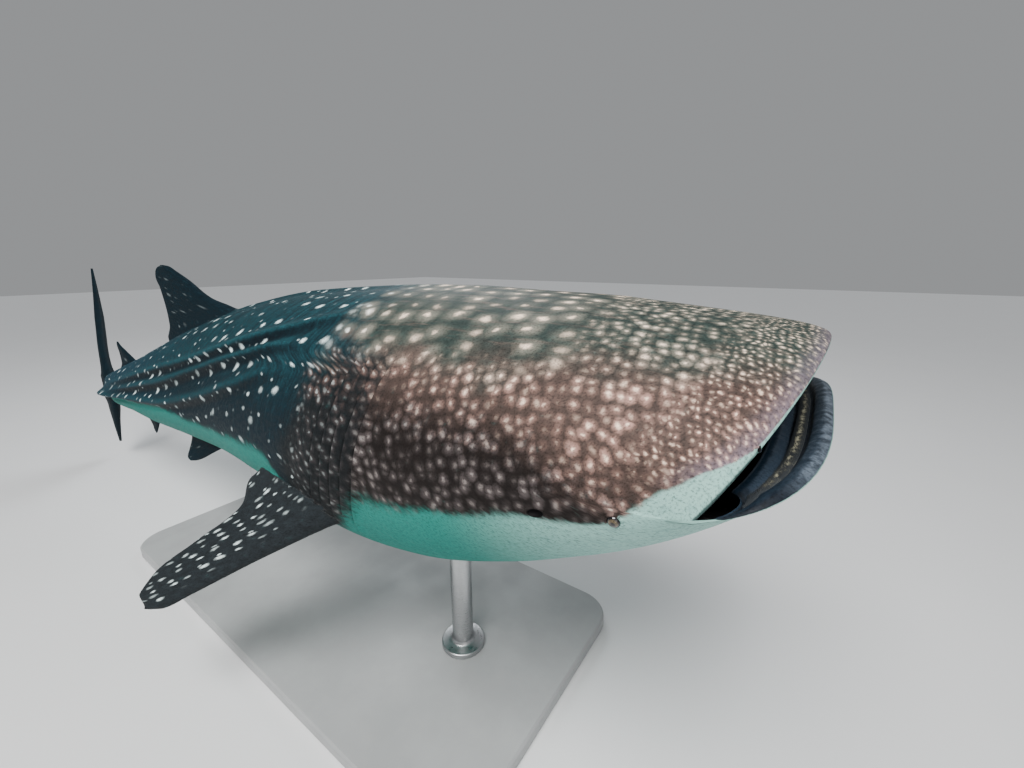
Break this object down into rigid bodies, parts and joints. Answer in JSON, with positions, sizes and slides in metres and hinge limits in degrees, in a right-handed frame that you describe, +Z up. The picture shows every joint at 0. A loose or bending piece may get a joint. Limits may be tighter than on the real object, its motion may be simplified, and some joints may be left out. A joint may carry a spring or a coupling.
{
  "type": "whale shark model",
  "caption": "Life-size still model of a spotted whale shark swimming with its broad mouth open, held over a flat base on two short rods.",
  "frame": {"origin": "middle of the underside of the stand's base, on the floor", "axes": "+X the way the shark heads, +Y its left side, +Z up"},
  "size_m": [6.0192, 1.731, 1.6812],
  "materials": {
    "skin_dark": "satin spotted skin",
    "skin_pale": "satin pale skin",
    "eye": "wet gloss",
    "teeth": "matte rasp",
    "stand_base": "satin paint",
    "stand_rod": "brushed"
  },
  "bodies": {
    "root": {"head": "skin_dark", "lower_jaw": "skin_pale", "tooth_band_upper": "teeth", "tooth_band_lower": "teeth", "eye_right": "eye", "eye_left": "eye", "gill_region": "skin_dark", "trunk_front": "skin_dark", "trunk_rear": "skin_dark", "tail_stalk": "skin_dark", "first_dorsal_fin": "skin_dark", "second_dorsal_fin": "skin_dark", "anal_fin": "skin_dark", "caudal_fin": "skin_dark", "pectoral_fin_right": "skin_dark", "pectoral_fin_left": "skin_dark", "pelvic_fin_right": "skin_dark", "pelvic_fin_left": "skin_dark", "stand_base": "stand_base", "stand_rod_front": "stand_rod", "stand_rod_rear": "stand_rod"}
  },
  "joints": []
}
